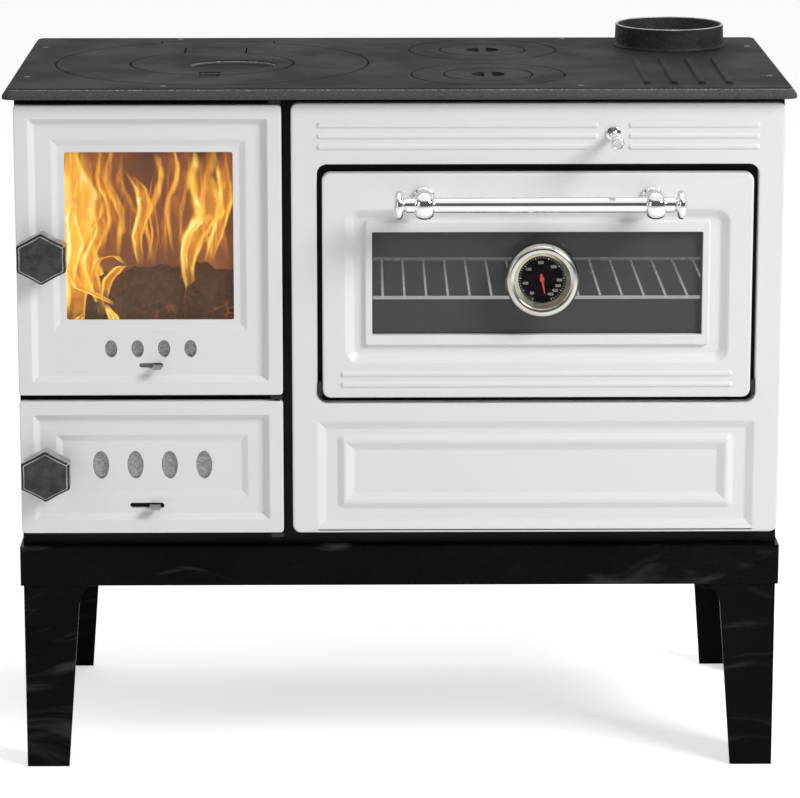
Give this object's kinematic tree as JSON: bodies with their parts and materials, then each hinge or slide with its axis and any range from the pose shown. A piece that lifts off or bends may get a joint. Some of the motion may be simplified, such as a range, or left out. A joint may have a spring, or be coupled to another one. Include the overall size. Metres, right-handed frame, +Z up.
{
  "type": "wood cookstove",
  "caption": "Free-standing white enamelled wood cookstove with lift-out cooktop rings, glazed fire door, ash door, drop-down oven door with thermometer, flue collar and black legs.",
  "frame": {"origin": "on the floor, under the middle of the bounding box", "axes": "+X to the right as seen from the front, +Y to the back, +Z up"},
  "size_m": [0.872, 0.4978, 0.806],
  "materials": {
    "white_enamel": "glossy white enamel",
    "cooktop_iron": "matt charcoal cast iron, fine sand texture",
    "black_casing": "satin black heat-proof paint",
    "gloss_black": "glossy black enamel",
    "chrome": "polished chrome",
    "knob_dark": "dark nickel with bright edges",
    "galvanised": "galvanised steel",
    "oven_glass": "tinted oven glass",
    "fire_glass": "clear ceramic glass",
    "lens_glass": "clear lens",
    "dial_black": "matt black printed dial",
    "needle_red": "red enamelled needle",
    "firebrick": "rough vermiculite firebrick",
    "seal_rope": "woven glass-fibre rope",
    "dark_iron": "rough dark iron"
  },
  "bodies": {
    "root": {"oven_front_panel": "white_enamel", "cooktop_plate": "cooktop_iron", "flue_collar": "cooktop_iron", "left_side_panel": "black_casing", "right_side_panel": "black_casing", "back_panel": "black_casing", "floor_panel": "black_casing", "front_frame": "black_casing", "ash_partition": "black_casing", "base_frame": "gloss_black", "leg_front_left": "gloss_black", "leg_front_right": "gloss_black", "leg_rear_left": "gloss_black", "leg_rear_right": "gloss_black", "damper_escutcheon": "chrome", "oven_rack": "chrome", "ash_pan": "galvanised", "firebrick_left": "firebrick", "firebrick_right": "firebrick", "firebrick_back": "firebrick", "fire_grate": "dark_iron", "oven_box": "dark_iron", "hinge_ear_top": "dark_iron", "hinge_ear_middle": "dark_iron", "hinge_ear_bottom": "dark_iron", "oven_hinge_left": "dark_iron", "oven_hinge_right": "dark_iron"},
    "fire_door": {"fire_door": "white_enamel", "fire_door_seal": "seal_rope", "fire_glass": "fire_glass", "fire_glass_retainer": "dark_iron", "fire_shutter_guide": "dark_iron"},
    "fire_shutter": {"fire_air_shutter": "galvanised"},
    "fire_latch": {"fire_knob": "knob_dark", "fire_latch": "dark_iron"},
    "ash_door": {"ash_door": "white_enamel", "ash_door_seal": "seal_rope", "ash_shutter_guide": "dark_iron"},
    "ash_shutter": {"ash_air_shutter": "galvanised"},
    "ash_latch": {"ash_knob": "knob_dark", "ash_latch": "dark_iron"},
    "oven_door": {"oven_door_panel": "white_enamel", "oven_door_inner": "black_casing", "oven_glass": "oven_glass", "oven_door_seal": "seal_rope", "handle_bar": "chrome", "handle_bracket_left": "chrome", "handle_bracket_right": "chrome", "thermometer_case": "chrome", "thermometer_dial": "dial_black", "thermometer_lens": "lens_glass"},
    "needle": {"thermometer_needle": "needle_red"},
    "damper": {"damper_rod": "chrome", "damper_blade": "dark_iron"},
    "fire_ring": {"fire_ring": "cooktop_iron"},
    "fire_lid": {"fire_lid": "cooktop_iron"},
    "front_ring": {"front_ring": "cooktop_iron"},
    "front_lid": {"front_lid": "cooktop_iron"},
    "rear_ring": {"rear_ring": "cooktop_iron"},
    "rear_lid": {"rear_lid": "cooktop_iron"}
  },
  "joints": [
    {"name": "fire_door_hinge", "type": "hinge", "parent": "root", "child": "fire_door", "pos_m": [-0.1373, -0.1661, 0.5977], "axis": [0, 0, 1], "range_deg": [0, 95]},
    {"name": "fire_latch_turn", "type": "hinge", "parent": "fire_door", "child": "fire_latch", "pos_m": [-0.394, -0.1731, 0.5943], "axis": [0, -1, 0], "range_deg": [0, 90]},
    {"name": "fire_air_slide", "type": "slide", "parent": "fire_door", "child": "fire_shutter", "axis": [-1, 0, 0], "range_m": [0, 0.0145]},
    {"name": "ash_door_hinge", "type": "hinge", "parent": "root", "child": "ash_door", "pos_m": [-0.1373, -0.1661, 0.3517], "axis": [0, 0, 1], "range_deg": [0, 95]},
    {"name": "ash_latch_turn", "type": "hinge", "parent": "ash_door", "child": "ash_latch", "pos_m": [-0.394, -0.1731, 0.3484], "axis": [0, -1, 0], "range_deg": [0, 90]},
    {"name": "ash_air_slide", "type": "slide", "parent": "ash_door", "child": "ash_shutter", "axis": [-1, 0, 0], "range_m": [0, 0.01925]},
    {"name": "oven_door_hinge", "type": "hinge", "parent": "root", "child": "oven_door", "pos_m": [0.15205, -0.1691, 0.4372], "axis": [1, 0, 0], "range_deg": [0, 90]},
    {"name": "needle_turn", "type": "hinge", "parent": "oven_door", "child": "needle", "pos_m": [0.15655, -0.1901, 0.5688], "axis": [0, 1, 0], "range_deg": [0, 330], "stiffness_Nm_per_rad": 0.0005},
    {"name": "damper_slide", "type": "slide", "parent": "root", "child": "damper", "axis": [0, 1, 0], "range_m": [0, 0.055]},
    {"name": "fire_ring_lift", "type": "slide", "parent": "root", "child": "fire_ring", "axis": [0, 0, 1], "range_m": [0, 0.06]},
    {"name": "fire_lid_lift", "type": "slide", "parent": "fire_ring", "child": "fire_lid", "axis": [0, 0, 1], "range_m": [0, 0.06]},
    {"name": "front_ring_lift", "type": "slide", "parent": "root", "child": "front_ring", "axis": [0, 0, 1], "range_m": [0, 0.06]},
    {"name": "front_lid_lift", "type": "slide", "parent": "front_ring", "child": "front_lid", "axis": [0, 0, 1], "range_m": [0, 0.06]},
    {"name": "rear_ring_lift", "type": "slide", "parent": "root", "child": "rear_ring", "axis": [0, 0, 1], "range_m": [0, 0.06]},
    {"name": "rear_lid_lift", "type": "slide", "parent": "rear_ring", "child": "rear_lid", "axis": [0, 0, 1], "range_m": [0, 0.06]}
  ]
}
